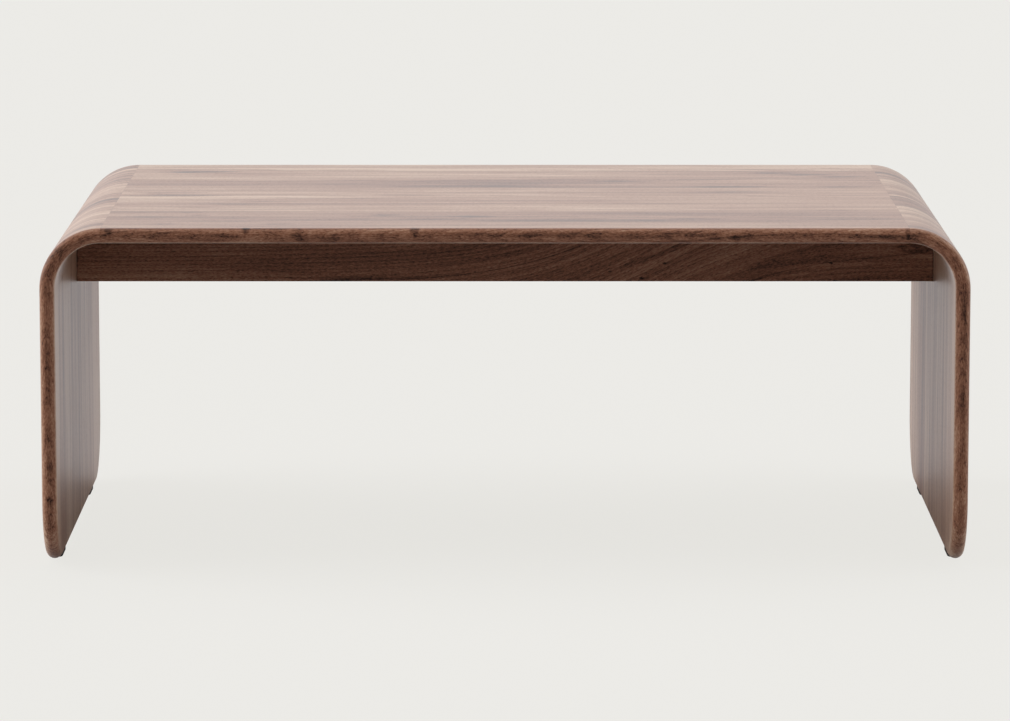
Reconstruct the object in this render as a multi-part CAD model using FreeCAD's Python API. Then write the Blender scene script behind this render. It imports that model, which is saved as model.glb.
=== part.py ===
import FreeCAD, Part
import os

from FreeCAD import Vector

# Waterfall coffee table: a walnut top whose two ends bend down into slab legs,
# with a stretcher on edge under its middle and four low feet.
# Millimetres. X runs along the table, Y from front to back, Z up from the floor.
# The origin is on the floor, under the middle of the top.

# Whole table
table_length = 1220.0
table_depth = 762.0
table_height = 457.0

# Board of the top, the bends and the legs
board_thickness = 20.0
bend_outer_radius = 81.0
leg_corner_radius = 93.0

# Staves, from the front edge to the back edge, as shares of the depth
top_stave_shares = (0.095, 0.161, 0.118, 0.109, 0.128, 0.155, 0.122, 0.112)
left_stave_shares = (0.117, 0.173, 0.193, 0.132, 0.123, 0.133, 0.129)
right_stave_shares = (0.126, 0.210, 0.149, 0.148, 0.128, 0.127, 0.112)

# Stretcher
stretcher_height = 98.0
stretcher_thickness = 32.0
scribe_easing = 0.5

# Dowels
dowel_diameter = 8.0
dowel_length = 40.0
dowel_chamfer = 1.0
dowel_side_clearance = 0.1
dowel_end_clearance = 1.0
blind_hole_share = 0.6
seam_dowel_count = 8
stretcher_top_dowel_count = 6
stretcher_end_dowel_shares = (0.25, 0.75)

# Feet
foot_length = 58.0
foot_width = 14.0
foot_height = 8.0
foot_let_in = 4.0
foot_end_distance = 143.0
foot_rim_chamfer = 1.0
foot_side_clearance = 0.2

# Foot screws
screw_length = 25.0
screw_shank_diameter = 3.5
screw_head_diameter = 7.0
screw_head_height = 1.8
screw_point_length = 4.0
screw_head_recess = 1.0
screw_spacing = 30.0
screw_clearance = 0.1
driver_slot_width = 0.9
driver_slot_length = 4.0
driver_slot_depth = 1.2

# Margin by which a cutting shape runs past the piece that it cuts
cut_overrun = 5.0

# Sizes that follow from those above
quarter_turn = 90.0
edge_radius = board_thickness / 2
bend_inner_radius = bend_outer_radius - board_thickness
seam_x = table_length / 2 - bend_outer_radius
bend_centre_z = table_height - bend_outer_radius
board_middle_z = table_height - edge_radius
underside_z = table_height - board_thickness
leg_bottom_z = foot_height - foot_let_in
leg_middle_x = table_length / 2 - edge_radius
leg_inner_x = table_length / 2 - board_thickness
inset_edge_y = table_depth / 2 - edge_radius
stretcher_bottom_z = underside_z - stretcher_height
blind_hole_reach = board_thickness * blind_hole_share
foot_y = table_depth / 2 - foot_end_distance

left = -1
right = 1
front = -1
back = 1
side_names = {left: "left", right: "right"}
end_names = {front: "front", back: "back"}


def line(start, end):
    return Part.LineSegment(start, end).toShape()


def arc(start, through, end):
    return Part.Arc(start, through, end).toShape()


def face_inside(edges):
    return Part.Face(Part.Wire(edges))


def corner_middle(centre, start, end):
    """Point halfway round the quarter circle from start to end."""
    towards = (start - centre) + (end - centre)
    return centre + towards.normalize() * start.distanceToPoint(centre)


# Flat top and bent sides, each first made whole and then sawn into staves

def board_section(x):
    """Section of the flat board, square to X, with a full-round front and back edge."""
    front_upper = Vector(x, -inset_edge_y, table_height)
    back_upper = Vector(x, inset_edge_y, table_height)
    front_lower = Vector(x, -inset_edge_y, underside_z)
    back_lower = Vector(x, inset_edge_y, underside_z)
    back_nose = Vector(x, table_depth / 2, board_middle_z)
    front_nose = Vector(x, -table_depth / 2, board_middle_z)
    return face_inside([
        line(front_upper, back_upper),
        arc(back_upper, back_nose, back_lower),
        line(back_lower, front_lower),
        arc(front_lower, front_nose, front_upper),
    ])


def whole_top():
    return board_section(-seam_x).extrude(Vector(2 * seam_x, 0, 0))


def leg_rim_edges(x):
    """Line along the middle of the leg's rounded edge: down the front, along the bottom, up the back."""
    straight_y = table_depth / 2 - leg_corner_radius
    corner_z = leg_bottom_z + leg_corner_radius
    rim_z = leg_bottom_z + edge_radius
    front_top = Vector(x, -inset_edge_y, bend_centre_z)
    front_turn = Vector(x, -inset_edge_y, corner_z)
    front_low = Vector(x, -straight_y, rim_z)
    back_low = Vector(x, straight_y, rim_z)
    back_turn = Vector(x, inset_edge_y, corner_z)
    back_top = Vector(x, inset_edge_y, bend_centre_z)
    front_centre = Vector(x, -straight_y, corner_z)
    back_centre = Vector(x, straight_y, corner_z)
    return [
        line(front_top, front_turn),
        arc(front_turn, corner_middle(front_centre, front_turn, front_low), front_low),
        line(front_low, back_low),
        arc(back_low, corner_middle(back_centre, back_low, back_turn), back_turn),
        line(back_turn, back_top),
    ]


def leg_plate():
    """Flat part of the right leg, up to the line where its rounded edge begins."""
    rim = leg_rim_edges(leg_inner_x)
    start = rim[0].Vertexes[0].Point
    end = rim[-1].Vertexes[-1].Point
    return face_inside(rim + [line(end, start)]).extrude(Vector(board_thickness, 0, 0))


def leg_rounded_edge():
    """Half-round edge that goes round the right leg's front, bottom and back."""
    inner = Vector(leg_inner_x, -inset_edge_y, bend_centre_z)
    outer = Vector(table_length / 2, -inset_edge_y, bend_centre_z)
    nose = Vector(leg_middle_x, -table_depth / 2, bend_centre_z)
    half_disc = face_inside([line(inner, outer), arc(outer, nose, inner)])
    return Part.Wire(leg_rim_edges(leg_middle_x)).makePipe(half_disc)


def whole_right_side():
    """Bend and leg in one piece."""
    bend_axis_point = Vector(seam_x, 0, bend_centre_z)
    bend = board_section(seam_x).revolve(bend_axis_point, Vector(0, 1, 0), quarter_turn)
    return bend.fuse([leg_plate(), leg_rounded_edge()]).removeSplitter()


def whole_side(side):
    board = whole_right_side()
    if side == left:
        return board.mirror(Vector(0, 0, 0), Vector(1, 0, 0))
    return board


def glue_lines(shares):
    """Places along Y where the staves meet, with the first and last past the board's edges."""
    places = [-table_depth / 2]
    for share in shares:
        places.append(places[-1] + table_depth * share / sum(shares))
    places[0] -= cut_overrun
    places[-1] += cut_overrun
    return places


def sawn_into_staves(board, shares):
    """Staves of the board, from the front to the back."""
    places = glue_lines(shares)
    saw_length = table_length + 2 * cut_overrun
    saw_height = table_height + 2 * cut_overrun
    staves = []
    for front_line, back_line in zip(places, places[1:]):
        corner = Vector(-saw_length / 2, front_line, -cut_overrun)
        slab = Part.makeBox(saw_length, back_line - front_line, saw_height, corner)
        staves.append(board.common(slab))
    return staves


# Stretcher

def whole_stretcher():
    """Board on edge from leg to leg, its upper corners rounded to sit inside the bends."""
    scribe_radius = bend_inner_radius + scribe_easing
    front_y = -stretcher_thickness / 2
    turn_x = leg_inner_x - scribe_radius
    turn_z = underside_z - scribe_radius
    lower_left = Vector(-leg_inner_x, front_y, stretcher_bottom_z)
    lower_right = Vector(leg_inner_x, front_y, stretcher_bottom_z)
    right_turn = Vector(leg_inner_x, front_y, turn_z)
    upper_right = Vector(turn_x, front_y, underside_z)
    upper_left = Vector(-turn_x, front_y, underside_z)
    left_turn = Vector(-leg_inner_x, front_y, turn_z)
    right_centre = Vector(turn_x, front_y, turn_z)
    left_centre = Vector(-turn_x, front_y, turn_z)
    outline = [
        line(lower_left, lower_right),
        line(lower_right, right_turn),
        arc(right_turn, corner_middle(right_centre, right_turn, upper_right), upper_right),
        line(upper_right, upper_left),
        arc(upper_left, corner_middle(left_centre, upper_left, left_turn), left_turn),
        line(left_turn, lower_left),
    ]
    return face_inside(outline).extrude(Vector(0, stretcher_thickness, 0))


# Dowels and their holes

def evenly_spread(count, length):
    """Places of count things along a length centred on zero, half a pitch in from each end."""
    pitch = length / count
    return [(index + 0.5) * pitch - length / 2 for index in range(count)]


def seam_dowel_starts(side):
    """Inner ends of the dowels that cross the joint between the top and one side."""
    start_x = side * (seam_x - dowel_length / 2)
    return [Vector(start_x, y, board_middle_z) for y in evenly_spread(seam_dowel_count, table_depth)]


def stretcher_end_dowel_starts(side):
    """Inner ends of the dowels in one end of the stretcher, on the upright part of that end."""
    start_x = side * (leg_inner_x + blind_hole_reach - dowel_length)
    upright = bend_centre_z - stretcher_bottom_z
    heights = [stretcher_bottom_z + upright * share for share in stretcher_end_dowel_shares]
    return [Vector(start_x, 0, z) for z in heights]


def stretcher_top_dowel_starts():
    """Lower ends of the dowels in the stretcher's upper edge."""
    start_z = underside_z + blind_hole_reach - dowel_length
    return [Vector(x, 0, start_z) for x in evenly_spread(stretcher_top_dowel_count, 2 * seam_x)]


def dowel(start, direction):
    rod = Part.makeCylinder(dowel_diameter / 2, dowel_length, start, direction)
    rims = [edge for edge in rod.Edges if isinstance(edge.Curve, Part.Circle)]
    return rod.makeChamfer(dowel_chamfer, rims)


def dowel_hole(start, direction):
    radius = dowel_diameter / 2 + dowel_side_clearance
    depth = dowel_length + 2 * dowel_end_clearance
    return Part.makeCylinder(radius, depth, start - direction * dowel_end_clearance, direction)


# Feet and their screws

def foot_places(side):
    """Middle of each foot of one leg, on the floor, by its name."""
    places = {}
    for end in (front, back):
        name = end_names[end] + "_" + side_names[side] + "_foot"
        places[name] = Vector(side * leg_middle_x, end * foot_y, 0)
    return places


def oblong(place, margin, height):
    """Upright block with round ends, larger than a foot by the margin all round."""
    radius = foot_width / 2 + margin
    straight = foot_length - foot_width
    ends = [place + Vector(0, end * straight / 2, 0) for end in (front, back)]
    block = Part.makeBox(2 * radius, straight, height, ends[0] - Vector(radius, 0, 0))
    return block.fuse([Part.makeCylinder(radius, height, end) for end in ends]).removeSplitter()


def screw_places(foot_place):
    return [foot_place + Vector(0, end * screw_spacing / 2, screw_head_recess) for end in (front, back)]


def countersunk_rod(place, clearance):
    """Shape of a countersunk screw, head down, larger by the clearance all round."""
    head_radius = screw_head_diameter / 2 + clearance
    shank_radius = screw_shank_diameter / 2 + clearance
    shank_length = screw_length - screw_head_height - screw_point_length
    up = Vector(0, 0, 1)
    shank_start = place + up * screw_head_height
    point_start = shank_start + up * shank_length
    head = Part.makeCone(head_radius, shank_radius, screw_head_height, place, up)
    shank = Part.makeCylinder(shank_radius, shank_length, shank_start, up)
    point = Part.makeCone(shank_radius, clearance, screw_point_length, point_start, up)
    return head.fuse([shank, point]).removeSplitter()


def screw(place):
    """Countersunk wood screw with a cross slot in its head."""
    body = countersunk_rod(place, 0)
    half_length = driver_slot_length / 2
    half_width = driver_slot_width / 2
    along_x = place - Vector(half_length, half_width, 0)
    along_y = place - Vector(half_width, half_length, 0)
    slots = [
        Part.makeBox(driver_slot_length, driver_slot_width, driver_slot_depth, along_x),
        Part.makeBox(driver_slot_width, driver_slot_length, driver_slot_depth, along_y),
    ]
    return body.cut(slots)


def screw_hole(place):
    """Room for a screw and its driver, open downwards."""
    radius = screw_head_diameter / 2 + screw_clearance
    driver_way = Part.makeCylinder(radius, screw_head_recess, place - Vector(0, 0, screw_head_recess))
    return countersunk_rod(place, screw_clearance).fuse(driver_way).removeSplitter()


def foot(place):
    """Oblong pad with a chamfered rim round its sole."""
    pad = oblong(place, 0, foot_height)
    sole = min(pad.Faces, key=lambda face: face.CenterOfMass.z)
    pad = pad.makeChamfer(foot_rim_chamfer, sole.Edges)
    return pad.cut([screw_hole(screw_place) for screw_place in screw_places(place)])


def foot_seat(place):
    """Slot in the leg's lower edge that takes a foot, with the pilot holes of its screws."""
    slot = oblong(place, foot_side_clearance, foot_height)
    return slot.fuse([screw_hole(screw_place) for screw_place in screw_places(place)])


# Whole table, as a list of named pieces

def dowels(starts, direction):
    return Part.makeCompound([dowel(start, direction) for start in starts])


def dowel_holes(starts, direction):
    return [dowel_hole(start, direction) for start in starts]


def table_pieces():
    up = Vector(0, 0, 1)
    top_starts = stretcher_top_dowel_starts()
    top = whole_top().cut(dowel_holes(top_starts, up))
    stretcher = whole_stretcher().cut(dowel_holes(top_starts, up))
    pieces = {"stretcher_top_dowels": dowels(top_starts, up)}
    screws = []
    for side, shares in ((left, left_stave_shares), (right, right_stave_shares)):
        name = side_names[side]
        outward = Vector(side, 0, 0)
        seam_starts = seam_dowel_starts(side)
        end_starts = stretcher_end_dowel_starts(side)
        seam_holes = dowel_holes(seam_starts, outward)
        end_holes = dowel_holes(end_starts, outward)
        feet = foot_places(side)
        seats = [foot_seat(place) for place in feet.values()]
        top = top.cut(seam_holes)
        stretcher = stretcher.cut(end_holes)
        board = whole_side(side).cut(seam_holes + end_holes + seats)
        for number, stave in enumerate(sawn_into_staves(board, shares), start=1):
            pieces[name + "_side_stave_" + str(number)] = stave
        for foot_name, place in feet.items():
            pieces[foot_name] = foot(place)
            screws += [screw(screw_place) for screw_place in screw_places(place)]
        pieces[name + "_seam_dowels"] = dowels(seam_starts, outward)
        pieces[name + "_stretcher_dowels"] = dowels(end_starts, outward)
    for number, stave in enumerate(sawn_into_staves(top, top_stave_shares), start=1):
        pieces["top_stave_" + str(number)] = stave
    pieces["stretcher"] = stretcher
    pieces["foot_screws"] = Part.makeCompound(screws)
    return pieces


os.makedirs("parts", exist_ok=True)
for piece_name, piece in table_pieces().items():
    piece.exportStep("parts/" + piece_name + ".step")
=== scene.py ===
import math

import bpy
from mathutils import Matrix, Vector


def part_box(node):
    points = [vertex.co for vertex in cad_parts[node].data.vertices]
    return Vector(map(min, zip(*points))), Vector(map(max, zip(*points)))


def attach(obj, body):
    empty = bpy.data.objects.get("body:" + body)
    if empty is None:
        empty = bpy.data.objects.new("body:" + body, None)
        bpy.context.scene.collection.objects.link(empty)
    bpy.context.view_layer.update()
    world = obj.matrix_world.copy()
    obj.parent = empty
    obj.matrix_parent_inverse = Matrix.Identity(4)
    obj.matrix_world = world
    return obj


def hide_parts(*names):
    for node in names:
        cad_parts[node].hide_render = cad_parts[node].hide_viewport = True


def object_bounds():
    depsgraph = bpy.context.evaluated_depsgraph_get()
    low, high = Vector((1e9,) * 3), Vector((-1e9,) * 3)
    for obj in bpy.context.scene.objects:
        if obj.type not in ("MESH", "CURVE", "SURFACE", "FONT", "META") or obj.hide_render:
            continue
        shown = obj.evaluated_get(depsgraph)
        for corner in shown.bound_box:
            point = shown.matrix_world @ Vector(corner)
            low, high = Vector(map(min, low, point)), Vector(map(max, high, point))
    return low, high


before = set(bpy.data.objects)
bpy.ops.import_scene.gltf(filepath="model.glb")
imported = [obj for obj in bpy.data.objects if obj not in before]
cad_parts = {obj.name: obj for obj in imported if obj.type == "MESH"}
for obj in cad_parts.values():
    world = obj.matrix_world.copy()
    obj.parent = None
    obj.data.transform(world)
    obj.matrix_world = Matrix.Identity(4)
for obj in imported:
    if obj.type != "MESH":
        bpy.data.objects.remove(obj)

solid_low, solid_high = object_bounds()

# Sizes of the table, in metres, read from the solids
top_low, top_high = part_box("top_stave_2")
seam_x = top_high.x
board_thickness = top_high.z - top_low.z
board_mid_z = (top_high.z + top_low.z) / 2
bend_outer_radius = solid_high.x - seam_x
bend_inner_radius = bend_outer_radius - board_thickness
bend_middle_radius = bend_outer_radius - board_thickness / 2
bend_centre_z = solid_high.z - bend_outer_radius
front_y = solid_low.y
leg_low_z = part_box("left_side_stave_4")[0].z
side_length = bend_middle_radius * math.pi / 2 + bend_centre_z

# Radius of the legs' lower corners in metres, which no box of a solid gives
leg_corner_radius = 0.093

# Walnut colours, from the darkest latewood to the palest sapwood streak
walnut_shades = (
    (0.00, (0.020, 0.0090, 0.0060)),
    (0.25, (0.103, 0.0462, 0.0290)),
    (0.50, (0.225, 0.0995, 0.0595)),
    (0.75, (0.332, 0.183, 0.117)),
    (1.00, (0.500, 0.340, 0.240)),
)

# Oil in the wood and wax on it: a soft sheen at a low angle, hardly any from straight on
oil_roughness = 0.37
pore_roughness = 0.12
oil_ior = 1.35
oil_tint = (0.13, 0.10, 0.08, 1.0)
wax_roughness = 0.32
wax_ior = 1.12

# Walnut patterns: how fast each one changes along, across and through the grain, per metre
sway_stretch = (2.4, 8.0, 8.0)
band_stretch = (1.4, 26.0, 26.0)
patch_stretch = (2.5, 7.0, 7.0)
ink_stretch = (0.9, 17.0, 17.0)
fibre_stretch = (12.0, 520.0, 520.0)
pore_stretch = (230.0, 720.0, 720.0)
fleck_stretch = (220.0, 700.0, 700.0)
streak_stretch = (1.4, 50.0, 50.0)
pale_stretch = (0.9, 24.0, 24.0)
ring_stretch = (60.0, 1.0, 1.0)
rings_per_metre = 190.0
ring_unevenness = 4.0
sway_reach = (0.0, 0.014, 0.014)
seed_step = (1.37, 0.71, 0.53)

# Walnut patterns: the part of a year or of a noise that each one takes up
latewood_start = 0.1
latewood_end = 0.9
band_limits = (0.28, 0.72)
ink_level = 0.55
ink_width = (0.016, 0.002)
pore_limits = (0.52, 0.66)
pores_in_early_wood = 0.5
pale_width = (0.050, 0.008)

# Walnut patterns: how much each one lightens or darkens the wood, and how high it stands
band_tone = 0.57
band_tone_lost_to_flecks = 0.31
patch_tone = 0.30
ink_tone = -0.20
latewood_tone = -0.13
fibre_tone = 0.12
fibre_tone_with_flecks = 0.30
pale_tone = 0.25
pore_tone = -0.26
walnut_lift = 0.07
fibre_relief = 0.5
pore_relief = 0.9
walnut_bump = (0.15, 0.0002)

# Flecks and streaks of the flat faces, the rounded edges, the stretcher and the sides
face_flecks = 0.35
edge_flecks = 0.72
stretcher_flecks = 0.70
side_streaks = 0.90
fleck_zone = (0.012, 0.005)

# Dark heartwood and painted shade along the middle of the rounded edges, where they face forward, by depth
# from the board's middle and distance from its outline
heart_middle = 0.0003
heart_outer_reach = 0.010
heart_inner_reach = 0.020
heart_wander = 0.008
heart_wander_stretch = (9.0, 1.0, 1.0)
heart_change_stretch = (14.0, 1.0, 1.0)
heart_change_limits = (0.3, 0.7)
heart_and_painted_shade_tones = (-0.27, -0.40)
heart_zone = (0.016, 0.004)

# Painted highlight line on the inner rim, and painted shade on the upper rim of the front edges
painted_rim_highlight_start = -0.0078
painted_rim_highlight_tone = 0.34
painted_upper_rim_shade_depth = (0.0076, 0.0094)
painted_upper_rim_shade_zone = (0.014, 0.009)
painted_upper_rim_shade_tone = -0.15

# Inside faces of the legs, paler round the bend
inside_depth = (-0.0090, -0.0098)
inside_zone = (0.007, 0.010)
inside_step_half_width = 0.004
bend_inside_run = (0.190, 0.080)
bend_inside_rise = 0.30

# Glue lines between the staves, and painted shade in the crease where the stretcher meets the rest
glue_line_width = 0.0004
glue_line_tone = -0.22
outline_margin = 0.01
painted_crease_shade_width = 0.0030
painted_crease_shade_tone = -0.30

# Climb of the stretcher's grain
climb_middle_x = 0.2
climb_steepness = 5.0
climb_half_height = 0.09

# Place of the log's heart, seen from a board: across it, below it, and how that changes along the grain
pith_spread = 0.05
pith_depth = -0.05
pith_depth_spread = 0.03
pith_slope_spread = 0.03
pith_turns = (2.4, 1.7, 4.1)
front_pith_inset = 0.055
front_pith = (front_y + front_pith_inset, 0.001, 0.0, 0.14)
stretcher_pith = (0.30, -0.06, 0.02, 0.0)

# Each board's place in the log
top_seed = 10
left_seed = 40
right_seed = 70
stretcher_seed = 101

# Black plastic of the feet
plastic_shades = ((0.0, (0.002, 0.002, 0.002)), (1.0, (0.010, 0.010, 0.011)))
plastic_grit_stretch = (1800.0, 1800.0, 1800.0)
plastic_scuff_stretch = (90.0, 90.0, 90.0)
plastic_scuff_limits = (0.2, 0.8)
plastic_roughness = (0.42, 0.62)
plastic_gloss = 0.2
plastic_bump = (0.3, 0.0001)

# Beech of the dowels
beech_shades = ((0.2, (0.36, 0.19, 0.095)), (0.7, (0.62, 0.41, 0.25)))
beech_along_grain = 40.0
beech_across_grain = 260.0
beech_dash_fineness = 3.0
beech_dash_limits = (0.60, 0.68)
beech_dash_tone = 0.35
beech_streak_limits = (0.3, 0.7)
beech_roughness = (0.62, 0.5)
beech_bump = (0.2, 0.0001)

# Zinc on the screws
zinc_shades = ((0.3, (0.42, 0.43, 0.45)), (0.7, (0.66, 0.67, 0.68)))
zinc_cloud_stretch = (420.0, 420.0, 420.0)
zinc_cloud_limits = (0.3, 0.7)
zinc_roughness = (0.42, 0.27)
zinc_bump = (0.15, 0.00005)

# Hidden fasteners: fluted dowels and countersunk screws, in metres
seam_dowel_count = 8
stretcher_end_dowel_count = 2
stretcher_top_dowel_count = 6
dowel_radius = 0.004
dowel_length = 0.040
dowel_chamfer = 0.001
dowel_flutes = 16
dowel_flute_depth = 0.0004
dowel_points_per_flute = 6
dowel_segments = 3
dowel_seed = 7
screw_head_radius = 0.0035
screw_head_height = 0.0018
screw_head_sides = 40
screw_thread_radius = 0.00175
screw_core_radius = 0.0011
screw_length = 0.025
screw_point_length = 0.004
screw_point_share = 0.04
screw_thread_pitch = 0.0015
screw_thread_valley = 0.35
screw_rod_sides = 20
screw_rod_segments = 100
screw_slot = (0.004, 0.0009, 0.0012)
screw_spacing = 0.030

# Studio: a pale floor, and a sky that is bright to the eye and a little dimmer to the right in the sheen
floor_half_size = 40.0
floor_colour = (0.50, 0.492, 0.506, 1.0)
floor_glow = (0.878, 0.868, 0.830, 1.0)
floor_glow_seen = 0.88
floor_glow_mirrored = 0.05
sky_colour = (0.97, 0.985, 1.0, 1.0)
sky_light = 0.06
sky_seen = 0.91
sky_dimming_run = (0.08, 0.16)
sky_dimming = 0.15

# Wide, far lamps: strength, width, bearing and height in degrees, and whether the wood mirrors them
lamps = {
    "top_lamp": (1.28, 70.0, 180.0, 80.0, False),
    "front_left_lamp": (0.5, 30.0, 50.0, 8.0, False),
    "front_right_lamp": (0.5, 30.0, -50.0, 8.0, False),
    "left_lamp": (1.6, 60.0, 95.0, 24.0, False),
    "left_sheen_lamp": (1.5, 60.0, 95.0, 24.0, True),
    "right_lamp": (1.3, 60.0, -95.0, 24.0, True),
}

# Camera: lens and sensor in millimetres, distance from the front edge and height in metres, pitch in degrees
camera_lens = 186.9
camera_sensor = 36.0
camera_distance = 6.7968
camera_height = 1.3009
camera_pitch = 8.515
camera_far_limit = 200.0

# Tone of each stave, from the front one to the back one: at its front side, at its back side, and its rise
# along the grain from one end to the other. 0 is dark, 1 is pale
tone_margin = 0.3
top_tones = (
    (0.66, 0.72, -0.14), (0.60, 0.58, -0.10), (0.76, 0.70, 0.0), (0.70, 0.78, -0.12),
    (0.71, 0.74, 0.0), (0.66, 0.74, -0.12), (0.74, 0.74, 0.0), (1.00, 0.88, 0.0),
)
left_tones = (
    (0.78, 0.71, 0.06), (0.66, 0.77, 0.0), (0.60, 0.40, 0.0), (0.68, 0.68, 0.0),
    (0.74, 0.74, 0.0), (0.50, 0.56, 0.0), (0.58, 0.58, 0.0),
)
right_tones = (
    (0.73, 0.66, 0.12), (0.65, 0.84, 0.0), (0.37, 0.37, 0.0), (0.68, 0.68, 0.0),
    (0.80, 0.80, 0.0), (0.44, 0.70, 0.0), (0.86, 0.62, 0.0),
)
stretcher_tones = (0.49, 0.49, 0.02)
# Tones on the inside of each leg: distance from the front edge in metres, and the tone from there on
left_inside_tones = (
    (0.0, 0.86), (0.061, 0.66), (0.182, 0.84), (0.235, 0.80),
    (0.460, 0.69), (0.520, 0.74), (0.600, 0.82), (0.672, 1.00),
)
right_inside_tones = (
    (0.0, 0.86), (0.050, 0.73), (0.200, 0.88), (0.262, 0.72),
    (0.400, 0.80), (0.480, 0.62), (0.580, 0.84), (0.672, 0.92),
)

# Marks in the wood, and pale patches of painted bounce light at the legs' lower ends, by place and half size
# in metres and by how much they lighten or darken it
mark_ragged_stretch = (1.1, 1.9, 1.9)
mark_raggedness = 2.0
mark_fade = (1.0, 0.25)
mark_slack = 0.001
top_marks = (
    ((-0.440, 0.281, 0.457), (0.075, 0.014, 0.03), -0.55),
    ((-0.465, 0.023, 0.457), (0.075, 0.012, 0.03), -0.40),
    ((-0.455, -0.006, 0.457), (0.080, 0.012, 0.03), -0.40),
    ((-0.020, 0.140, 0.457), (0.300, 0.060, 0.05), -0.26),
    ((0.010, 0.120, 0.457), (0.080, 0.020, 0.05), -0.16),
    ((-0.145, -0.005, 0.457), (0.070, 0.012, 0.03), -0.30),
    ((-0.159, -0.230, 0.457), (0.030, 0.016, 0.02), -0.30),
    ((-0.040, -0.250, 0.457), (0.040, 0.018, 0.02), -0.28),
    ((-0.420, -0.203, 0.457), (0.024, 0.010, 0.02), -0.18),
    ((-0.408, -0.234, 0.457), (0.022, 0.012, 0.02), -0.26),
    ((-0.450, -0.328, 0.457), (0.026, 0.016, 0.02), -0.18),
    ((-0.299, -0.328, 0.457), (0.030, 0.014, 0.02), -0.18),
    ((0.385, 0.268, 0.457), (0.055, 0.014, 0.03), -0.35),
    ((0.430, 0.245, 0.457), (0.055, 0.014, 0.03), -0.35),
    ((0.475, 0.220, 0.457), (0.055, 0.014, 0.03), -0.35),
    ((0.480, 0.098, 0.457), (0.080, 0.012, 0.03), -0.35),
    ((0.310, 0.097, 0.457), (0.080, 0.012, 0.03), -0.30),
    ((0.320, 0.035, 0.457), (0.070, 0.012, 0.03), -0.18),
    ((-0.280, -0.025, 0.457), (0.220, 0.012, 0.03), 0.20),
    ((-0.280, -0.140, 0.457), (0.260, 0.010, 0.03), 0.14),
    ((0.000, -0.180, 0.457), (0.450, 0.009, 0.03), 0.16),
    ((-0.040, 0.055, 0.457), (0.200, 0.030, 0.03), 0.14),
    ((0.140, 0.265, 0.457), (0.160, 0.030, 0.03), 0.12),
    ((0.360, 0.112, 0.457), (0.300, 0.045, 0.05), -0.14),
    ((0.360, -0.034, 0.457), (0.280, 0.030, 0.05), -0.11),
    ((0.260, -0.118, 0.457), (0.280, 0.030, 0.05), -0.10),
    ((0.400, -0.163, 0.457), (0.200, 0.030, 0.05), 0.12),
    ((0.400, -0.280, 0.457), (0.220, 0.040, 0.05), -0.12),
    ((-0.070, 0.060, 0.457), (0.240, 0.030, 0.05), 0.10),
    ((0.130, 0.226, 0.457), (0.180, 0.030, 0.05), 0.12),
    ((0.060, 0.358, 0.457), (0.320, 0.022, 0.05), -0.09),
)
front_edge_marks = (
    ((-0.339, -0.376, 0.456), (0.008, 0.020, 0.008), -0.34),
    ((-0.270, -0.381, 0.447), (0.016, 0.030, 0.011), -0.22),
    ((-0.225, -0.381, 0.443), (0.013, 0.030, 0.008), -0.22),
    ((-0.118, -0.379, 0.453), (0.008, 0.030, 0.010), -0.30),
    ((0.301, -0.379, 0.443), (0.011, 0.030, 0.007), -0.30),
    ((0.247, -0.381, 0.450), (0.040, 0.030, 0.005), -0.24),
    ((0.360, -0.381, 0.454), (0.220, 0.014, 0.005), -0.14),
    ((-0.430, -0.381, 0.446), (0.140, 0.014, 0.008), -0.14),
    ((-0.200, -0.381, 0.440), (0.140, 0.014, 0.006), -0.08),
    ((0.5262, -0.381, 0.449), (0.0042, 0.018, 0.018), -0.26),
    ((-0.5180, -0.379, 0.453), (0.007, 0.012, 0.005), -0.30),
    ((0.300, -0.381, 0.442), (0.320, 0.014, 0.010), 0.14),
    ((0.465, -0.381, 0.448), (0.085, 0.030, 0.014), 0.12),
)
left_leg_marks_and_painted_light = (
    ((-0.599, -0.381, 0.1405), (0.007, 0.030, 0.008), -0.20),
    ((-0.599, -0.381, 0.0964), (0.008, 0.030, 0.007), -0.24),
    ((-0.599, -0.381, 0.0610), (0.008, 0.030, 0.011), -0.18),
    # Pale patches at the lower end of the leg: painted bounce light from the floor
    ((-0.601, -0.352, 0.0260), (0.030, 0.045, 0.034), 0.15),
    ((-0.601, -0.306, 0.0080), (0.030, 0.035, 0.024), 0.15),
    ((-0.570, -0.330, 0.4250), (0.120, 0.062, 0.100), -0.16),
)
right_leg_marks_and_painted_light = (
    ((0.545, -0.381, 0.445), (0.030, 0.030, 0.030), 0.14),
    ((0.579, -0.381, 0.426), (0.030, 0.030, 0.030), 0.14),
    ((0.599, -0.381, 0.393), (0.025, 0.030, 0.026), 0.20),
    ((0.601, -0.381, 0.3500), (0.005, 0.030, 0.030), -0.12),
    ((0.601, -0.381, 0.2000), (0.006, 0.030, 0.050), -0.12),
    ((0.608, -0.377, 0.3300), (0.004, 0.020, 0.060), 0.14),
    # Pale patches at the lower end of the leg: painted bounce light from the floor
    ((0.601, -0.381, 0.0800), (0.012, 0.040, 0.070), 0.09),
    ((0.601, -0.352, 0.0300), (0.030, 0.045, 0.040), 0.26),
    ((0.601, -0.312, 0.0080), (0.030, 0.035, 0.024), 0.26),
    ((0.565, -0.328, 0.4250), (0.120, 0.064, 0.100), -0.16),
)
stretcher_marks = (
    ((0.2199, -0.016, 0.3639), (0.0036, 0.010, 0.0021), -0.80),
    ((0.1882, -0.016, 0.3432), (0.0042, 0.010, 0.0021), -0.80),
    ((0.4492, -0.016, 0.3641), (0.0036, 0.010, 0.0021), -0.80),
)


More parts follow.
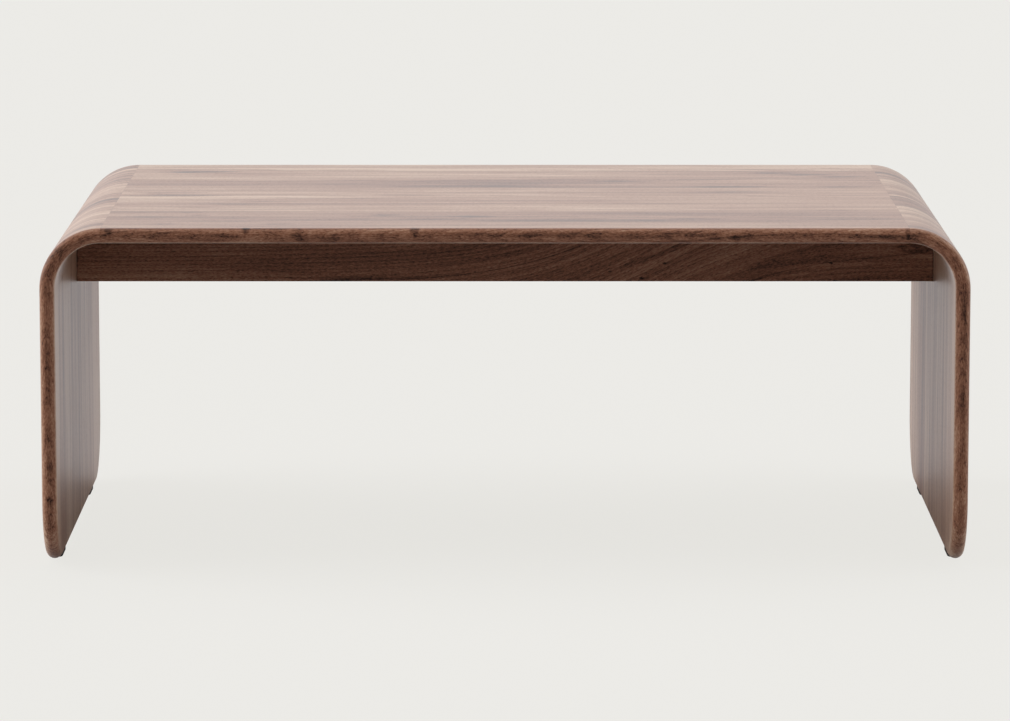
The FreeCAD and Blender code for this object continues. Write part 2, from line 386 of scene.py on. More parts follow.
class Web:
    """A tree of nodes that is filled step by step. A group also has its given and its result sockets."""

    def __init__(self, tree, given=None, result=None):
        self.tree = tree
        self.given = given
        self.result = result

    def add(self, kind, *values, **settings):
        """Adds a node, sets its options and feeds its inputs in order."""
        node = self.tree.nodes.new(kind)
        for name, value in settings.items():
            setattr(node, name, value)
        for socket, value in zip([s for s in node.inputs if s.enabled], values):
            self.feed(socket, value)
        return node

    def put(self, kind, inputs, **settings):
        """Adds a node, sets its options and feeds its inputs by name."""
        node = self.add(kind, **settings)
        self.feed_all(node.inputs, inputs)
        return node

    def use(self, tree, inputs):
        """Adds a node group, feeds its inputs by name and gives its outputs."""
        return self.put("ShaderNodeGroup", inputs, node_tree=tree).outputs

    def feed(self, socket, value):
        """Joins an output to an input, or writes a plain value there."""
        if isinstance(value, bpy.types.NodeSocket):
            self.tree.links.new(value, socket)
        elif value is not None:
            socket.default_value = value

    def feed_all(self, sockets, values):
        """Feeds inputs by name."""
        for label, value in values.items():
            self.feed(sockets[label], value)

    def maths(self, operation, *values, clamp=False):
        return self.add("ShaderNodeMath", *values, operation=operation, use_clamp=clamp).outputs[0]

    def vector_maths(self, operation, *values):
        return self.add("ShaderNodeVectorMath", *values, operation=operation).outputs[0]

    def plus(self, *values):
        total = values[0]
        for value in values[1:]:
            total = self.maths("ADD", total, value)
        return total

    def minus(self, a, b):
        return self.maths("SUBTRACT", a, b)

    def times(self, *values):
        total = values[0]
        for value in values[1:]:
            total = self.maths("MULTIPLY", total, value)
        return total

    def positive(self, value):
        """The value where it is over zero, and zero elsewhere."""
        return self.maths("MAXIMUM", value, 0.0)

    def distance(self, a, b):
        """Straight distance over two steps at a right angle."""
        return self.maths("SQRT", self.plus(self.times(a, a), self.times(b, b)))

    def ramp(self, value, low, high, start=0.0, end=1.0):
        """Soft step of a value from low to high."""
        node = self.add("ShaderNodeMapRange", value, low, high, start, end, interpolation_type="SMOOTHSTEP")
        return node.outputs["Result"]

    def clouds(self, place, stretch, detail=2.0, roughness=0.5):
        """Cloud noise on a place that is stretched along each direction: its value and its colour."""
        where = self.vector_maths("MULTIPLY", place, stretch)
        inputs = {"Vector": where, "Scale": 1.0, "Detail": detail, "Roughness": roughness}
        return self.put("ShaderNodeTexNoise", inputs, normalize=True).outputs

    def noise(self, place, stretch, detail=2.0, roughness=0.5):
        """Value of cloud noise, about one half in the middle."""
        return self.clouds(place, stretch, detail, roughness)[0]

    def swing(self, noise):
        """How far a noise lies over or under its middle."""
        return self.minus(noise, 0.5)

    def split(self, vector):
        return self.add("ShaderNodeSeparateXYZ", vector).outputs

    def joined(self, x, y, z):
        return self.add("ShaderNodeCombineXYZ", x, y, z).outputs[0]

    def place(self):
        """Place on the piece, in metres."""
        return self.add("ShaderNodeTexCoord").outputs["Object"]

    def shaded(self, value, shades):
        """Colour of a value, between the shades at their levels."""
        node = self.add("ShaderNodeValToRGB", value)
        stops = node.color_ramp.elements
        while len(stops) < len(shades):
            stops.new(1.0)
        for stop, (level, shade) in zip(stops, shades):
            stop.position = level
            stop.color = (*shade, 1.0)
        return node.outputs["Color"]

    def bumped(self, height, bump):
        """Direction of a surface with a fine relief, by its strength and its depth in metres."""
        strength, depth = bump
        inputs = {"Strength": strength, "Distance": depth, "Height": height}
        return self.put("ShaderNodeBump", inputs).outputs[0]


def new_group(name, inputs, outputs, kind="ShaderNodeTree"):
    """An empty node group with its named sockets."""
    group = bpy.data.node_groups.new(name, kind)
    for in_out, sockets in (("INPUT", inputs), ("OUTPUT", outputs)):
        for label, socket in sockets.items():
            group.interface.new_socket(label, in_out=in_out, socket_type=f"NodeSocket{socket}")
    given = group.nodes.new("NodeGroupInput").outputs
    result = group.nodes.new("NodeGroupOutput").inputs
    return Web(group, given, result)


def empty_tree(owner):
    """The cleared node tree of a material or a world."""
    owner.use_nodes = True
    owner.node_tree.nodes.clear()
    return Web(owner.node_tree)


def new_material(name):
    """A material with its surface shader alone."""
    material = bpy.data.materials.new(name)
    web = empty_tree(material)
    shader = web.add("ShaderNodeBsdfPrincipled")
    web.put("ShaderNodeOutputMaterial", {"Surface": shader.outputs[0]})
    return material, web, shader.inputs


def from_bend(web, place):
    """Distance of a place from the axis of its bend: outwards, upwards and straight."""
    out = web.positive(web.minus(web.maths("ABSOLUTE", place[0]), seam_x))
    up = web.positive(web.minus(place[2], bend_centre_z))
    return out, up, web.distance(out, up)


def grain_of_top():
    """Grain runs along the table in the flat top."""
    web = new_group("grain of the top", {}, {"Grain": "Vector"})
    web.feed(web.result["Grain"], web.vector_maths("SUBTRACT", web.place(), (0.0, 0.0, board_mid_z)))
    return web.tree


def grain_of_side():
    """Grain runs round the bend and down the leg: along the bent sheet, across it, through it."""
    web = new_group("grain of the side", {}, {"Grain": "Vector"})
    place = web.split(web.place())
    out, up, reach = from_bend(web, place)
    down = web.positive(web.minus(bend_centre_z, place[2]))
    turn = web.maths("ARCTAN2", out, up)
    along = web.plus(web.times(turn, bend_middle_radius), down)
    web.feed(web.result["Grain"], web.joined(along, place[1], web.minus(reach, bend_middle_radius)))
    return web.tree


def grain_of_stretcher():
    """Grain runs along the stretcher and climbs through it right of the middle."""
    web = new_group("grain of the stretcher", {}, {"Grain": "Vector"})
    x, y, z = web.split(web.place())
    bend = web.maths("TANH", web.times(web.minus(x, climb_middle_x), climb_steepness))
    climb = web.times(bend, climb_half_height)
    web.feed(web.result["Grain"], web.joined(x, web.minus(z, climb), y))
    return web.tree


def figure_mark():
    """One darker or paler mark, in the wood or of painted light, with a ragged outline."""
    inputs = {"Place": "Vector", "Size": "Vector", "Amount": "Float"}
    web = new_group("figure mark", inputs, {"Tone": "Float"})
    away = web.vector_maths("SUBTRACT", web.place(), web.given["Place"])
    away = web.vector_maths("DIVIDE", away, web.given["Size"])
    far = web.add("ShaderNodeVectorMath", away, operation="LENGTH").outputs["Value"]
    ragged = web.noise(away, mark_ragged_stretch, detail=3.0, roughness=0.6)
    far = web.plus(far, web.times(web.swing(ragged), mark_raggedness))
    web.feed(web.result["Tone"], web.times(web.ramp(far, *mark_fade), web.given["Amount"]))
    return web.tree


def walnut_figure():
    """Growth rings, colour bands, fibres and pores of walnut, in grain directions."""
    web = new_group(
        "walnut figure",
        {
            "Grain": "Vector", "Seed": "Float", "Tone": "Float",
            "Pith across": "Float", "Pith depth": "Float", "Pith slope": "Float", "Pith lean": "Float",
            "Flecks": "Float", "Streaks": "Float",
        },
        {"Tone": "Float", "Pores": "Float", "Relief": "Float"},
    )
    given = web.given
    seed = given["Seed"]
    shift = web.vector_maths("MULTIPLY", web.joined(seed, seed, seed), seed_step)
    place = web.vector_maths("ADD", given["Grain"], shift)
    sway = web.vector_maths("SUBTRACT", web.clouds(place, sway_stretch)["Color"], (0.5, 0.5, 0.5))
    sway = web.vector_maths("MULTIPLY", sway, sway_reach)
    bent = web.vector_maths("ADD", given["Grain"], sway)
    swayed = web.vector_maths("ADD", place, sway)
    along, across, through = web.split(bent)

    # Growth rings round a pith that runs slightly askew to the board
    side = web.minus(web.minus(across, given["Pith across"]), web.times(along, given["Pith lean"]))
    depth = web.minus(web.minus(through, given["Pith depth"]), web.times(along, given["Pith slope"]))
    radius = web.distance(side, depth)
    uneven = web.noise(web.joined(radius, seed, 0.0), ring_stretch)
    count = web.plus(web.times(radius, rings_per_metre), web.times(uneven, ring_unevenness))
    year = web.maths("FRACT", count)
    late = web.times(web.ramp(year, latewood_start, latewood_end), web.ramp(year, 1.0, latewood_end))

    # Broad colour bands, thin ink lines, fibres, pores, flecks and streaks
    bands = web.ramp(web.noise(swayed, band_stretch, detail=5.0, roughness=0.6), *band_limits)
    patch = web.noise(swayed, patch_stretch)
    level = web.noise(swayed, ink_stretch, detail=3.0, roughness=0.45)
    ink = web.ramp(web.maths("ABSOLUTE", web.minus(level, ink_level)), *ink_width)
    fibre = web.noise(swayed, fibre_stretch)
    pores = web.ramp(web.noise(swayed, pore_stretch, roughness=0.6), *pore_limits)
    pores = web.times(pores, web.plus(pores_in_early_wood, web.times(late, 1 - pores_in_early_wood)))
    fleck = web.noise(swayed, fleck_stretch, detail=1.0, roughness=0.6)
    streak = web.noise(swayed, streak_stretch, roughness=0.6)
    pale = web.ramp(web.maths("ABSOLUTE", web.swing(web.noise(swayed, pale_stretch))), *pale_width)
    band_depth = web.minus(band_tone, web.times(given["Flecks"], band_tone_lost_to_flecks))
    fibre_depth = web.plus(fibre_tone, web.times(given["Flecks"], fibre_tone_with_flecks))

    tone = web.plus(
        given["Tone"],
        web.times(web.swing(bands), band_depth),
        web.times(web.swing(patch), patch_tone),
        web.times(ink, ink_tone),
        web.times(late, latewood_tone),
        web.times(web.swing(fibre), fibre_depth),
        web.times(web.swing(streak), given["Streaks"]),
        web.times(pale, given["Streaks"], pale_tone),
        web.times(pores, pore_tone),
        web.times(web.swing(fleck), given["Flecks"]),
        walnut_lift,
    )
    relief = web.minus(web.times(fibre, fibre_relief), web.times(pores, pore_relief))
    web.feed_all(web.result, {"Tone": tone, "Pores": pores, "Relief": relief})
    return web.tree


top_grain = grain_of_top()
side_grain = grain_of_side()
stretcher_grain = grain_of_stretcher()
figure = walnut_figure()
mark_figure = figure_mark()


def board_tone(web, along, across, box, run, tones):
    """Tone of a board, from its front side to its back side and along its grain."""
    at_front, at_back, rise = tones
    low, high = box[0].y, box[1].y
    margin = tone_margin * (high - low)
    tone = at_front
    if at_front != at_back:
        tone = web.ramp(across, low + margin, high - margin, at_front, at_back)
    if rise:
        tone = web.plus(tone, web.ramp(along, run[0], run[1], -rise / 2, rise / 2))
    return tone


def edge_inset(web, along, across, leg):
    """Distance in from a panel's rounded outline: its front and back, and round the lower end of a leg."""
    past = web.positive(web.plus(web.maths("ABSOLUTE", across), front_y + leg_corner_radius))
    if leg:
        low = web.positive(web.minus(along, side_length - leg_low_z - leg_corner_radius))
        past = web.distance(past, low)
    return web.minus(leg_corner_radius, past)


def front_share(web, across, zone):
    """Soft step between two distances from the front edge."""
    return web.ramp(across, front_y + zone[0], front_y + zone[1])


def edge_heartwood_shade_and_rim_highlight(web, grain, inset, seed):
    """Dark heartwood and painted shade along the rounded edges, deepest near their forward-facing middle, and
    a painted highlight line on the inner rim.
    """
    along, across, through = grain
    wander = web.noise(web.joined(along, seed, 0.0), heart_wander_stretch, detail=3.0)
    off = web.plus(web.minus(through, heart_middle), web.times(web.swing(wander), heart_wander))
    core = web.times(web.ramp(off, heart_outer_reach, 0.0), web.ramp(off, -heart_inner_reach, 0.0))
    change = web.noise(web.joined(along, seed, 3.0), heart_change_stretch, detail=3.0)
    strength = web.ramp(change, *heart_change_limits, *heart_and_painted_shade_tones)
    # Heartwood streak deepened with painted shade where the rounded edge faces forward
    heart = web.times(core, strength, web.ramp(inset, *heart_zone))
    # Pale line on the inner rim: a painted highlight standing in for the grazing reflection there
    rim = web.ramp(through, painted_rim_highlight_start, -board_thickness / 2, 0.0, painted_rim_highlight_tone)
    return web.plus(heart, web.times(rim, front_share(web, across, heart_zone)))


def painted_upper_rim_shade(web, across, through):
    """Painted shade: a darker line along the upper rim of the top's front edge."""
    share = web.times(web.ramp(through, *painted_upper_rim_shade_depth), front_share(web, across, painted_upper_rim_shade_zone))
    return web.times(share, painted_upper_rim_shade_tone)


def inside_tone(web, grain, tone, steps):
    """Tone of a board with the inside of the leg laid over it, where other rings come to the face."""
    along, across, through = grain
    share = web.times(web.ramp(through, *inside_depth), front_share(web, across, inside_zone))
    before = steps[0][1]
    inner = before
    for start, after in steps[1:]:
        edge = front_y + start
        low, high = edge - inside_step_half_width, edge + inside_step_half_width
        inner = web.plus(inner, web.ramp(across, low, high, 0.0, after - before))
        before = after
    inner = web.plus(inner, web.ramp(along, *bend_inside_run, 0.0, bend_inside_rise))
    return web.plus(tone, web.times(share, web.minus(inner, tone)))


def painted_crease_shade(web):
    """Painted shade: a dark line in the crease where the stretcher meets the underside of the top and the
    legs.
    """
    reach = from_bend(web, web.split(web.place()))[2]
    gap = web.minus(bend_inner_radius, reach)
    return web.ramp(gap, painted_crease_shade_width, 0.0, 0.0, painted_crease_shade_tone)


def glue_lines(web, along, across, box, seams):
    """Thin dark lines where a stave meets its neighbours and the other panel."""
    sides = [side for side in (box[0].y, box[1].y) if abs(side) < -front_y - outline_margin]
    gaps = [web.maths("ABSOLUTE", web.minus(across, side)) for side in sides]
    gaps += [web.maths("ABSOLUTE", web.minus(along, seam)) for seam in seams]
    nearest = gaps[0]
    for gap in gaps[1:]:
        nearest = web.maths("MINIMUM", nearest, gap)
    return web.ramp(nearest, glue_line_width, 0.0, 0.0, glue_line_tone)


def walnut(
    name, grain, seed, tones, box, run, pith, marks=(), edged=False, front=False, inside=(), seams=(),
    flecks=face_flecks, streaks=0.0,
):
    """Oiled walnut of one board, cut from its own place in the log."""
    material, web, skin = new_material(name)
    grain_place = web.use(grain, {})["Grain"]
    directions = web.split(grain_place)
    along, across, through = directions
    tone = board_tone(web, along, across, box, run, tones)
    if edged:
        inset = edge_inset(web, along, across, grain == side_grain)
        # Dark heartwood and painted shade along the rounded edges, and a painted highlight line on their
        # inner rim
        tone = web.plus(tone, edge_heartwood_shade_and_rim_highlight(web, directions, inset, seed))
        flecks = web.ramp(inset, *fleck_zone, flecks, edge_flecks)
        streaks = web.ramp(inset, *fleck_zone, streaks, 0.0)
    if front:
        # Painted shade on the upper rim of the top's front edge
        tone = web.plus(tone, painted_upper_rim_shade(web, across, through))
    if inside:
        tone = inside_tone(web, directions, tone, inside)
    if seams:
        tone = web.plus(tone, glue_lines(web, along, across, box, seams))
    if grain == stretcher_grain:
        # Painted shade in the creases where the stretcher meets the top and the legs
        tone = web.plus(tone, painted_crease_shade(web))
    for place, size, amount in marks:
        mark = web.use(mark_figure, {"Place": place, "Size": size, "Amount": amount})
        tone = web.plus(tone, mark["Tone"])
    board = {"Grain": grain_place, "Seed": seed, "Tone": tone, "Flecks": flecks, "Streaks": streaks}
    heart = dict(zip(("Pith across", "Pith depth", "Pith slope", "Pith lean"), pith))
    wood = web.use(figure, {**board, **heart})
    finish = {
        "Base Color": web.shaded(wood["Tone"], walnut_shades),
        "Roughness": web.plus(oil_roughness, web.times(wood["Pores"], pore_roughness)),
        "IOR": oil_ior,
        "Specular Tint": oil_tint,
        "Coat Weight": 1.0,
        "Coat Roughness": wax_roughness,
        "Coat IOR": wax_ior,
        "Normal": web.bumped(wood["Relief"], walnut_bump),
    }
    web.feed_all(skin, finish)
    return material


def paint(node, material):
    """Gives a solid its finish."""
    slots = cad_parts[node].data.materials
    slots.clear()
    slots.append(material)


def own_marks(marks, box, first):
    """Marks that lie within a stave's width. The front stave takes those on its edge too."""
    low = box[0].y
    if first:
        low -= mark_slack
    return [mark for mark in marks if low <= mark[0][1] < box[1].y]


def stave_pith(box, seed, first):
    """Where the log's heart lies for a stave: across, depth, slope and lean."""
    if first:
        return front_pith
    middle = (box[0].y + box[1].y) / 2
    across_turn, depth_turn, slope_turn = pith_turns
    return (
        middle + pith_spread * math.sin(seed * across_turn),
        pith_depth - pith_depth_spread * math.cos(seed * depth_turn),
        pith_slope_spread * math.sin(seed * slope_turn),
        0.0,
    )


def paint_staves(prefix, grain, tones, first_seed, run, seams, marks, inside=()):
    """Gives each stave of a panel its own board of walnut."""
    for number, tone in enumerate(tones, start=1):
        node = f"{prefix}_{number}"
        name = f"walnut {node}".replace("_", " ")
        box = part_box(node)
        seed = first_seed + number
        first = number == 1
        board = walnut(
            name, grain, seed, tone, box, run, stave_pith(box, seed, first),
            marks=own_marks(marks, box, first),
            edged=bool(inside) or number in (1, len(tones)),
            front=first and not inside,
            inside=inside,
            seams=seams,
            streaks=side_streaks if inside else 0.0,
        )
        paint(node, board)


def foot_plastic():
    """Black moulded plastic with a fine spark-eroded texture."""
    material, web, skin = new_material("black foot plastic")
    place = web.place()
    grit = web.noise(place, plastic_grit_stretch)
    scuff = web.noise(place, plastic_scuff_stretch, detail=3.0)
    finish = {
        "Base Color": web.shaded(scuff, plastic_shades),
        "Roughness": web.ramp(scuff, *plastic_scuff_limits, *plastic_roughness),
        "Specular IOR Level": plastic_gloss,
        "Normal": web.bumped(grit, plastic_bump),
    }
    web.feed_all(skin, finish)
    return material


def beech(name, stretch):
    """Pale beech of a dowel, with short brown ray flecks along it."""
    material, web, skin = new_material(name)
    place = web.place()
    streak = web.noise(place, stretch, detail=3.0)
    dash = web.noise(place, tuple(beech_dash_fineness * s for s in stretch), detail=1.0)
    shade = web.minus(streak, web.ramp(dash, *beech_dash_limits, 0.0, beech_dash_tone))
    finish = {
        "Base Color": web.shaded(shade, beech_shades),
        "Roughness": web.ramp(streak, *beech_streak_limits, *beech_roughness),
        "Normal": web.bumped(shade, beech_bump),
    }
    web.feed_all(skin, finish)
    return material


def zinc_steel():
    """Bright zinc on a steel screw, a little dulled."""
    material, web, skin = new_material("zinc plated steel")
    cloud = web.noise(web.place(), zinc_cloud_stretch, detail=3.0)
    finish = {
        "Base Color": web.shaded(cloud, zinc_shades),
        "Metallic": 1.0,
        "Roughness": web.ramp(cloud, *zinc_cloud_limits, *zinc_roughness),
        "Normal": web.bumped(cloud, zinc_bump),
    }
    web.feed_all(skin, finish)
    return material


top_run = (-seam_x, seam_x)
side_run = (0.0, side_length)
side_seams = side_run[:1]
paint_staves("top_stave", top_grain, top_tones, top_seed, top_run, top_run, top_marks + front_edge_marks)
for prefix, tones, first_seed, marks, inside in (
    ("left_side_stave", left_tones, left_seed, left_leg_marks_and_painted_light, left_inside_tones),
    ("right_side_stave", right_tones, right_seed, right_leg_marks_and_painted_light, right_inside_tones),
):
    paint_staves(prefix, side_grain, tones, first_seed, side_run, side_seams, marks, inside)
stretcher_walnut = walnut(
    "walnut stretcher", stretcher_grain, stretcher_seed, stretcher_tones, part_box("stretcher"), top_run,
    stretcher_pith, stretcher_marks, flecks=stretcher_flecks,
)
paint("stretcher", stretcher_walnut)
black_plastic = foot_plastic()
for foot in ("front_left_foot", "front_right_foot", "back_left_foot", "back_right_foot"):
    paint(foot, black_plastic)


def ended(web, instances):
    """Makes the instances of a tree real, gives them their finish and hands them out."""
    real = web.add("GeometryNodeRealizeInstances", instances).outputs[0]
    finished = web.add("GeometryNodeSetMaterial", real, True, web.given["Finish"]).outputs[0]
    web.feed(web.result["Geometry"], finished)
    return web.tree


def dowel_row():
    """Row of fluted dowels with chamfered ends, each along the axis."""
    web = new_group(
        "dowel row",
        {
            "Count": "Int", "First": "Vector", "Step": "Vector", "Axis": "Vector", "Radius": "Float",
            "Length": "Float", "Chamfer": "Float", "Flutes": "Int", "Flute depth": "Float", "Seed": "Int",
            "Finish": "Material",
        },
        {"Geometry": "Geometry"},
        "GeometryNodeTree",
    )
    given = web.given
    # Rod whose end rings make the chamfers and whose side is fluted
    half = web.times(given["Length"], 0.5)
    around = web.times(given["Flutes"], dowel_points_per_flute)
    rod = web.add("GeometryNodeMeshCylinder", around, dowel_segments, 1, given["Radius"], given["Length"])
    x, y, z = web.split(web.add("GeometryNodeInputPosition").outputs[0])
    wave = web.maths("COSINE", web.times(web.maths("ARCTAN2", y, x), given["Flutes"]))
    groove = web.maths("POWER", web.times(web.plus(wave, 1.0), 0.5), 2.0)
    at_end = web.maths("GREATER_THAN", web.maths("ABSOLUTE", z), web.times(half, 0.5))
    along = web.minus(1.0, at_end)
    inset = web.plus(web.times(at_end, given["Chamfer"]), web.times(along, groove, given["Flute depth"]))
    share = web.minus(1.0, web.maths("DIVIDE", inset, given["Radius"]))
    height = web.times(web.maths("SIGN", z), web.minus(half, web.times(along, given["Chamfer"])))
    moved = web.joined(web.times(x, share), web.times(y, share), height)
    shaped = web.add("GeometryNodeSetPosition", rod.outputs["Mesh"], True, moved).outputs[0]
    smooth = web.add("GeometryNodeSetShadeSmooth", shaped, rod.outputs["Side"], True).outputs[0]

    # One rod at each place of the row, turned about its own axis by chance
    line = {"Count": given["Count"], "Start Location": given["First"], "Offset": given["Step"]}
    row = web.put("GeometryNodeMeshLine", line, mode="OFFSET", count_mode="TOTAL").outputs[0]
    aim = web.put("FunctionNodeAlignRotationToVector", {"Vector": given["Axis"]}, axis="Z").outputs[0]
    rods = {"Points": row, "Instance": smooth, "Rotation": aim}
    placed = web.put("GeometryNodeInstanceOnPoints", rods).outputs[0]
    chance = web.add("FunctionNodeRandomValue", 0.0, math.tau, None, given["Seed"], data_type="FLOAT")
    turn = next(s for s in chance.outputs if s.enabled)
    spin = {"Instances": placed, "Rotation": web.joined(0.0, 0.0, turn)}
    turned = web.put("GeometryNodeRotateInstances", spin).outputs[0]
    return ended(web, turned)


def screw_set():
    """Countersunk wood screws, head down, in a pair under each foot."""
    web = new_group(
        "screw set",
        {
            "Head radius": "Float", "Head height": "Float", "Thread radius": "Float", "Core radius": "Float",
            "Length": "Float", "Point length": "Float", "Thread pitch": "Float", "Slot size": "Vector",
            "Pair spacing": "Float", "Spread across": "Float", "Spread deep": "Float", "Head level": "Float",
            "Finish": "Material",
        },
        {"Geometry": "Geometry"},
        "GeometryNodeTree",
    )
    given = web.given
    # Head with a cross slot
    head = web.add(
        "GeometryNodeMeshCone", screw_head_sides, 1, 1,
        given["Thread radius"], given["Head radius"], given["Head height"],
    )
    cross = web.add("GeometryNodeMeshBoolean", operation="DIFFERENCE", solver="EXACT")
    web.feed(cross.inputs[0], head.outputs["Mesh"])
    length, width, depth = web.split(given["Slot size"])
    height = web.times(depth, 2.0)
    for size in (web.joined(length, width, height), web.joined(width, length, height)):
        web.feed(cross.inputs[1], web.add("GeometryNodeMeshCube", size).outputs[0])

    # Threaded rod that runs out in a point
    rod_length = web.minus(given["Length"], web.times(given["Head height"], 0.5))
    rod = web.add(
        "GeometryNodeMeshCylinder", screw_rod_sides, screw_rod_segments, 1,
        given["Thread radius"], rod_length,
    )
    x, y, z = web.split(web.add("GeometryNodeInputPosition").outputs[0])
    angle = web.maths("ARCTAN2", y, x)
    level = web.plus(z, web.minus(given["Length"], web.times(rod_length, 0.5)))
    turns = web.minus(web.maths("DIVIDE", level, given["Thread pitch"]), web.times(angle, 1 / math.tau))
    saw = web.minus(web.times(web.maths("FRACT", turns), 2.0), 1.0)
    ridge = web.ramp(web.minus(1.0, web.maths("ABSOLUTE", saw)), screw_thread_valley, 1.0)
    thread_depth = web.minus(given["Thread radius"], given["Core radius"])
    radius = web.plus(given["Core radius"], web.times(ridge, thread_depth))
    taper = web.maths("DIVIDE", web.minus(given["Length"], level), given["Point length"], clamp=True)
    radius = web.times(radius, web.plus(web.times(taper, 1 - screw_point_share), screw_point_share))
    sideways = web.times(web.maths("COSINE", angle), radius)
    backwards = web.times(web.maths("SINE", angle), radius)
    moved = web.joined(sideways, backwards, level)
    threaded = web.add("GeometryNodeSetPosition", rod.outputs["Mesh"], True, moved).outputs[0]
    threaded = web.add("GeometryNodeSetShadeSmooth", threaded, rod.outputs["Side"], True).outputs[0]
    whole = web.add("GeometryNodeJoinGeometry")
    web.feed(whole.inputs[0], cross.outputs[0])
    web.feed(whole.inputs[0], threaded)

    # Two to each foot, four feet
    line = {
        "Count": 2,
        "Start Location": web.joined(0.0, web.times(given["Pair spacing"], -0.5), given["Head level"]),
        "Offset": web.joined(0.0, given["Pair spacing"], 0.0),
    }
    pair = web.put("GeometryNodeMeshLine", line, mode="OFFSET", count_mode="TOTAL").outputs[0]
    both = web.put("GeometryNodeInstanceOnPoints", {"Points": pair, "Instance": whole.outputs[0]})
    feet = web.add("GeometryNodeMeshGrid", given["Spread across"], given["Spread deep"], 2, 2)
    pairs = {"Points": feet.outputs["Mesh"], "Instance": both.outputs[0]}
    every = web.put("GeometryNodeInstanceOnPoints", pairs)
    return ended(web, every.outputs[0])


def made_piece(name, tree, sizes, finish, node):
    """Runs a tree once, keeps its result as a plain mesh and puts it in a solid's place."""
    holder = bpy.data.objects.new(name, bpy.data.meshes.new(name + "_start"))
    bpy.context.scene.collection.objects.link(holder)
    maker = holder.modifiers.new("maker", "NODES")
    maker.node_group = tree
    labels = {item.name: item.identifier for item in tree.interface.items_tree if item.in_out == "INPUT"}
    for label, value in {**sizes, "Finish": finish}.items():
        maker[labels[label]] = value
    shaped = holder.evaluated_get(bpy.context.evaluated_depsgraph_get())
    mesh = bpy.data.meshes.new_from_object(shaped)
    holder.modifiers.remove(maker)
    holder.data = mesh
    mesh.name = name
    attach(holder, "root")
    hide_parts(node)


def dowels(node, count, spread, axis, finish):
    """Dowels in a solid's place: spread and axis number the directions of the row and of each dowel."""
    low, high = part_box(node)
    first, step, along = (low + high) / 2, Vector(), Vector()
    first[spread] = low[spread] + dowel_radius
    step[spread] = (high[spread] - low[spread] - 2 * dowel_radius) / (count - 1)
    along[axis] = 1.0
    sizes = {
        "Count": count, "First": first, "Step": step, "Axis": along, "Radius": dowel_radius,
        "Length": dowel_length, "Chamfer": dowel_chamfer, "Flutes": dowel_flutes,
        "Flute depth": dowel_flute_depth, "Seed": dowel_seed,
    }
    made_piece(node.replace("dowels", "dowel_row"), fluted_dowels, sizes, finish, node)


x_axis, y_axis, z_axis = range(3)
fluted_dowels = dowel_row()
beech_along = beech("beech along the table", (beech_along_grain, beech_across_grain, beech_across_grain))
beech_upright = beech("beech upright", (beech_across_grain, beech_across_grain, beech_along_grain))
for seam_dowels in ("left_seam_dowels", "right_seam_dowels"):
    dowels(seam_dowels, seam_dowel_count, y_axis, x_axis, beech_along)
for end_dowels in ("left_stretcher_dowels", "right_stretcher_dowels"):
    dowels(end_dowels, stretcher_end_dowel_count, z_axis, x_axis, beech_along)
dowels("stretcher_top_dowels", stretcher_top_dowel_count, x_axis, z_axis, beech_upright)

front_left = sum(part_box("front_left_foot"), Vector()) / 2
back_right = sum(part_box("back_right_foot"), Vector()) / 2
screw_sizes = {
    "Head radius": screw_head_radius, "Head height": screw_head_height, "Thread radius": screw_thread_radius,
    "Core radius": screw_core_radius, "Length": screw_length, "Point length": screw_point_length,
    "Thread pitch": screw_thread_pitch, "Slot size": screw_slot, "Pair spacing": screw_spacing,
    "Spread across": back_right.x - front_left.x, "Spread deep": back_right.y - front_left.y,
    "Head level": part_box("foot_screws")[0].z,
}
made_piece("foot_screw_set", screw_set(), screw_sizes, zinc_steel(), "foot_screws")


def floor_finish():
    """Matt pale floor whose shadow shows faintly to the eye."""
    material = bpy.data.materials.new("pale studio floor")
    web = empty_tree(material)
    matt = web.add("ShaderNodeBsdfDiffuse", floor_colour)
    glow = web.add("ShaderNodeEmission", floor_glow, 1.0)
    path = web.add("ShaderNodeLightPath").outputs
    lift = web.plus(
        web.times(path["Is Camera Ray"], floor_glow_seen),
        web.times(path["Is Glossy Ray"], floor_glow_mirrored),
        web.times(path["Is Transmission Ray"], floor_glow_seen),
    )
    both = web.add("ShaderNodeMixShader", lift, matt.outputs[0], glow.outputs[0])
    web.put("ShaderNodeOutputMaterial", {"Surface": both.outputs[0]})
    return material


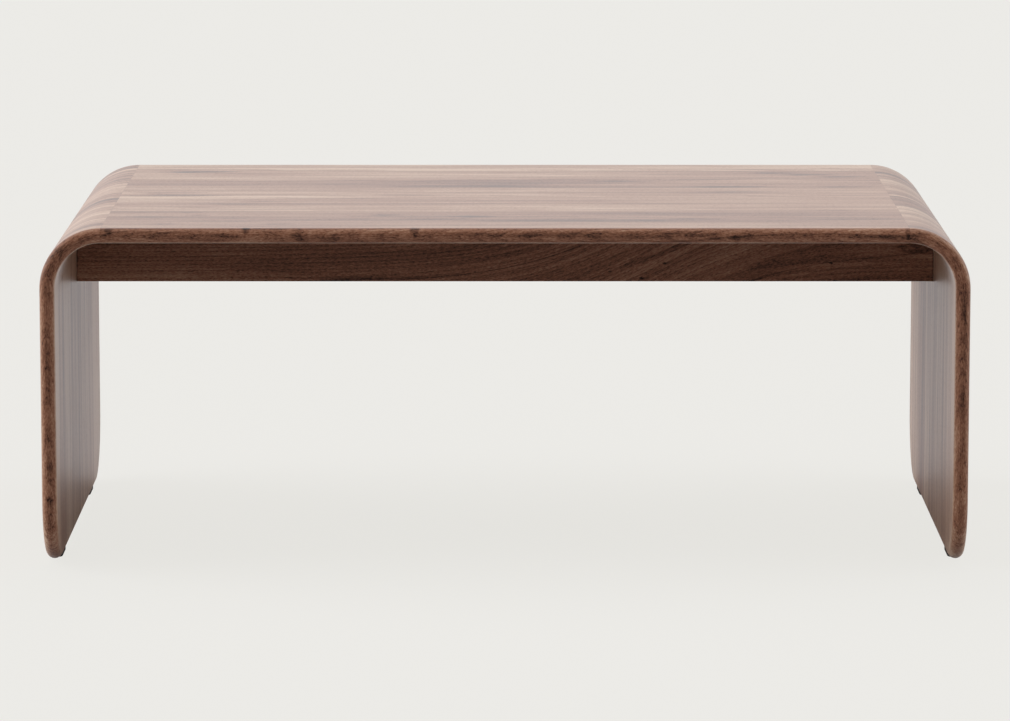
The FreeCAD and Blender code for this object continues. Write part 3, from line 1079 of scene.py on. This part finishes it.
def studio_floor():
    half = floor_half_size
    mesh = bpy.data.meshes.new("studio floor")
    corners = [(-half, -half, 0.0), (half, -half, 0.0), (half, half, 0.0), (-half, half, 0.0)]
    mesh.from_pydata(corners, [], [(0, 1, 2, 3)])
    mesh.materials.append(floor_finish())
    floor = bpy.data.objects.new("studio_floor", mesh)
    bpy.context.scene.collection.objects.link(floor)


def studio_sky():
    world = bpy.data.worlds.new("studio sky")
    bpy.context.scene.world = world
    web = empty_tree(world)
    path = web.add("ShaderNodeLightPath").outputs
    seen = web.maths("MAXIMUM", path["Is Camera Ray"], path["Is Glossy Ray"])
    seen = web.maths("MAXIMUM", seen, path["Is Transmission Ray"])
    rightward = web.split(web.add("ShaderNodeTexCoord").outputs["Generated"])[0]
    dimmer = web.times(web.ramp(rightward, *sky_dimming_run, 0.0, sky_dimming), path["Is Glossy Ray"])
    strength = web.minus(web.ramp(seen, 0.0, 1.0, sky_light, sky_seen), dimmer)
    sky = web.add("ShaderNodeBackground", sky_colour, strength)
    web.put("ShaderNodeOutputWorld", {"Surface": sky.outputs[0]})


def studio_lamp(name, strength, width, bearing, height, mirrored):
    """A wide, far lamp: its bearing is clockwise from the front, seen from above."""
    data = bpy.data.lights.new(name, "SUN")
    data.energy = strength
    data.angle = math.radians(width)
    lamp = bpy.data.objects.new(name, data)
    turn, rise = math.radians(bearing), math.radians(height)
    level = math.cos(rise)
    towards = Vector((-math.sin(turn) * level, -math.cos(turn) * level, math.sin(rise)))
    lamp.rotation_euler = towards.to_track_quat("Z", "Y").to_euler()
    lamp.visible_glossy = mirrored
    bpy.context.scene.collection.objects.link(lamp)


def photo_camera():
    data = bpy.data.cameras.new("photo camera")
    data.sensor_fit = "HORIZONTAL"
    data.sensor_width = camera_sensor
    data.lens = camera_lens
    data.clip_end = camera_far_limit
    camera = bpy.data.objects.new("photo_camera", data)
    camera.location = (0.0, front_y - camera_distance, camera_height)
    camera.rotation_euler = (math.radians(90 - camera_pitch), 0.0, 0.0)
    bpy.context.scene.collection.objects.link(camera)
    bpy.context.scene.camera = camera


studio_floor()
studio_sky()
for lamp_name, lamp_values in lamps.items():
    studio_lamp(lamp_name, *lamp_values)
photo_camera()
bpy.context.scene.view_settings.view_transform = "Standard"
